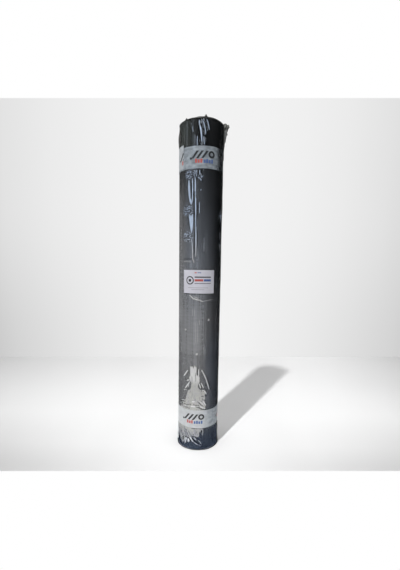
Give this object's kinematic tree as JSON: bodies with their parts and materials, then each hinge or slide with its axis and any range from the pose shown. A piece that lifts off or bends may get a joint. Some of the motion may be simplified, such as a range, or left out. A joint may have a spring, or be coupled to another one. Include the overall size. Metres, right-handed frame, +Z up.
{
  "type": "roll of roofing felt",
  "caption": "Roll of thin bituminous roofing felt standing on its end, wrapped in clear film and held by two printed tapes, with a sticker at the front.",
  "frame": {"origin": "on the roll's axis, at the floor that the roll stands on", "axes": "+Z up along the roll's axis, -Y towards the front with the sticker, +X to the right of the front"},
  "size_m": [0.1466, 0.1324, 1.003],
  "materials": {
    "felt": "dark grey bituminous felt, matt with a slight sheen",
    "film": "clear glossy wrapping film",
    "tape": "pale printed packing tape",
    "label_paper": "semi-gloss white paper sticker"
  },
  "bodies": {
    "root": {"felt_roll": "felt", "film_wrap": "film", "tape_band_upper": "tape", "tape_band_lower": "tape", "label": "label_paper"}
  },
  "joints": []
}
